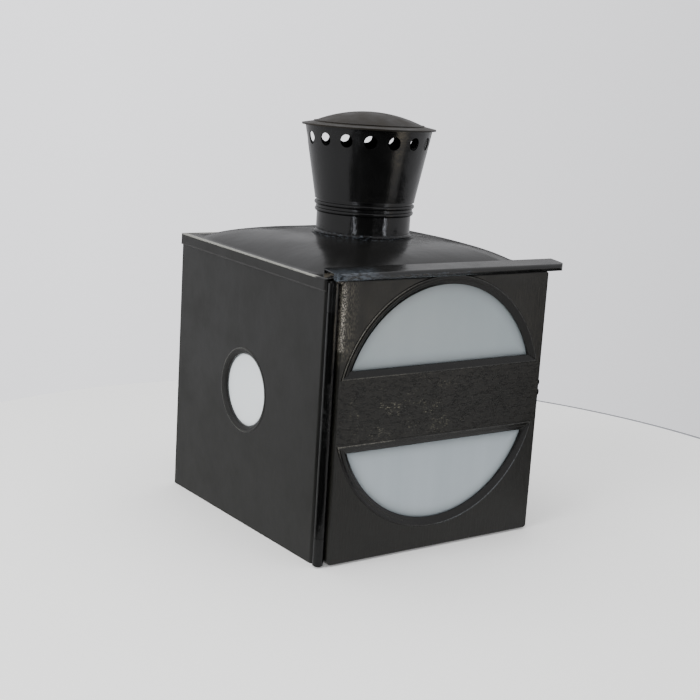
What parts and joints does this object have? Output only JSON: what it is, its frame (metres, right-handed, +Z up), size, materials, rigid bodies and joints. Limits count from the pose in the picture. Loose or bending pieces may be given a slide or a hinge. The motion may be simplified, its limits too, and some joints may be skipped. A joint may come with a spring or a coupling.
{
  "type": "railway turntable lantern",
  "caption": "Square sheet-metal signal lantern with a vented chimney, a hinged front door with half-moon opal lights, round side lights and a removable oil lamp inside.",
  "frame": {"origin": "middle of the flat base", "axes": "+Z up the chimney, +X to the right as the door is faced, -Y out of the door"},
  "size_m": [0.2715, 0.2884, 0.4048],
  "materials": {
    "black_paint": "thick gloss paint with brush marks",
    "grey_paint": "satin dark grey paint",
    "opal_glass": "opal white",
    "tinplate": "dull tinned",
    "brass": "aged satin",
    "cotton": "woven",
    "clear_glass": "clear"
  },
  "bodies": {
    "case": {"left_wall": "grey_paint", "right_wall": "grey_paint", "back_wall": "grey_paint", "floor_pan": "grey_paint", "front_frame": "black_paint", "eaves_band": "grey_paint", "roof": "black_paint", "rain_ledge": "black_paint", "chimney_neck": "black_paint", "chimney_cowl": "black_paint", "chimney_cap": "black_paint", "left_pane": "opal_glass", "right_pane": "opal_glass", "side_pane_clips": "tinplate", "hinge_leaves": "black_paint", "hinge_rivets": "black_paint", "hinge_pin": "black_paint", "catch_rivet": "black_paint", "lamp_rails": "tinplate", "lamp_base": "tinplate", "oil_font": "brass", "burner_collar": "brass", "burner_basket": "brass", "wick_tube": "brass", "glass_gallery": "brass", "burner_dome": "brass", "lamp_glass": "clear_glass"},
    "door": {"door": "black_paint", "door_pane": "opal_glass", "door_pane_clips": "tinplate"},
    "catch": {"turn_catch": "black_paint"},
    "filler_cap": {"filler_cap": "brass"},
    "wick_knob": {"wick_spindle": "brass", "wick_knob": "brass"},
    "wick": {"wick": "cotton"}
  },
  "joints": [
    {"name": "door_hinge", "type": "hinge", "parent": "case", "child": "door", "pos_m": [-0.1298, -0.1407, 0], "axis": [0, 0, -1], "range_deg": [0, 150]},
    {"name": "catch_turn", "type": "hinge", "parent": "case", "child": "catch", "pos_m": [0.1258, -0.1368, 0.15], "axis": [0, -1, 0], "range_deg": [0, 90]},
    {"name": "filler_cap_lift", "type": "slide", "parent": "case", "child": "filler_cap", "axis": [0, 0, 1], "range_m": [0, 0.025]},
    {"name": "wick_knob_turn", "type": "hinge", "parent": "case", "child": "wick_knob", "pos_m": [0.0051, 0, 0.1064], "axis": [0, 1, 0], "range_deg": [0, 170]},
    {"name": "wick_rise", "type": "slide", "parent": "case", "child": "wick", "axis": [0, 0, 1], "range_m": [0, 0.0102]}
  ],
  "couplings": [
    {"joint": "wick_rise", "follows": "wick_knob_turn", "m_per_rad": 0.0034}
  ]
}
